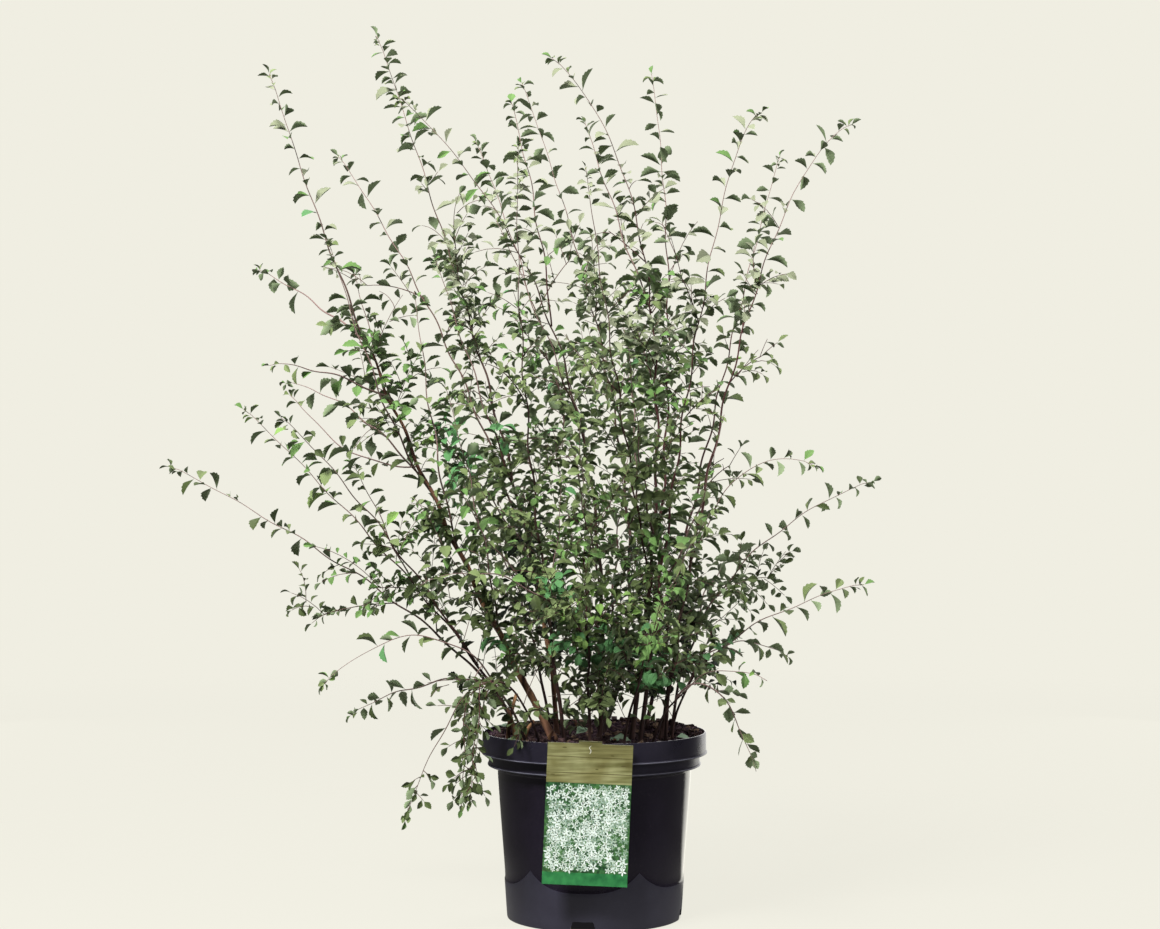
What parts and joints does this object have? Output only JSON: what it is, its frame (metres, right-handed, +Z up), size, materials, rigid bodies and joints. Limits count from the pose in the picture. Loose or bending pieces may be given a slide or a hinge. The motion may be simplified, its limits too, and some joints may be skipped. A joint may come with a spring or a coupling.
{
  "type": "potted spirea shrub",
  "caption": "Young flowering-shrub plant of upright and arching leafy canes in a round black nursery pot with soil and a plain care card.",
  "frame": {"origin": "centre of the pot's flat underside, on the floor", "axes": "+Z up, +X to the right seen from the front, -Y the front, where the care card hangs"},
  "size_m": [0.9508, 0.8859, 1.1349],
  "materials": {
    "black_plastic": "satin",
    "potting_soil": "matte",
    "printed_card": "satin",
    "cane_bark": "matte",
    "foliage": "matte"
  },
  "bodies": {
    "root": {"nursery_pot": "black_plastic", "soil": "potting_soil", "care_card": "printed_card", "cane_left_thick": "cane_bark", "cane_left_tallest": "cane_bark", "cane_left_inner": "cane_bark", "cane_front_upright": "cane_bark", "cane_back_upright": "cane_bark", "cane_middle": "cane_bark", "cane_back_tall": "cane_bark", "cane_right_inner": "cane_bark", "cane_right_arching": "cane_bark", "cane_right_back": "cane_bark", "cane_left_leaning": "cane_bark", "cane_left_lowest": "cane_bark", "cane_left_front_low": "cane_bark", "cane_over_rim_left": "cane_bark", "cane_right_front_low": "cane_bark", "cane_right_back_low": "cane_bark", "cane_right_low": "cane_bark", "cane_right_front_short": "cane_bark", "cane_front_low": "cane_bark", "cane_back_low": "cane_bark", "cane_front_right_low": "cane_bark", "cane_back_left_low": "cane_bark", "spray_left_thick": "foliage", "spray_left_tallest": "foliage", "spray_left_inner": "foliage", "spray_front_upright": "foliage", "spray_back_upright": "foliage", "spray_middle": "foliage", "spray_back_tall": "foliage", "spray_right_inner": "foliage", "spray_right_arching": "foliage", "spray_right_back": "foliage", "spray_left_leaning": "foliage", "spray_left_lowest": "foliage", "spray_left_front_low": "foliage", "spray_over_rim_left": "foliage", "spray_right_front_low": "foliage", "spray_right_back_low": "foliage", "spray_right_low": "foliage", "spray_right_front_short": "foliage", "spray_front_low": "foliage", "spray_back_low": "foliage", "spray_front_right_low": "foliage", "spray_back_left_low": "foliage", "spray_left_thick_high": "foliage", "spray_left_thick_front": "foliage", "spray_left_thick_back": "foliage", "spray_left_tallest_back": "foliage", "spray_left_inner_back": "foliage", "spray_middle_front": "foliage", "spray_left_leaning_front": "foliage", "spray_left_lowest_back": "foliage", "spray_right_low_back": "foliage", "spray_over_rim_right": "foliage", "spray_front_low_left": "foliage", "spray_right_back_low_back": "foliage"}
  },
  "joints": []
}
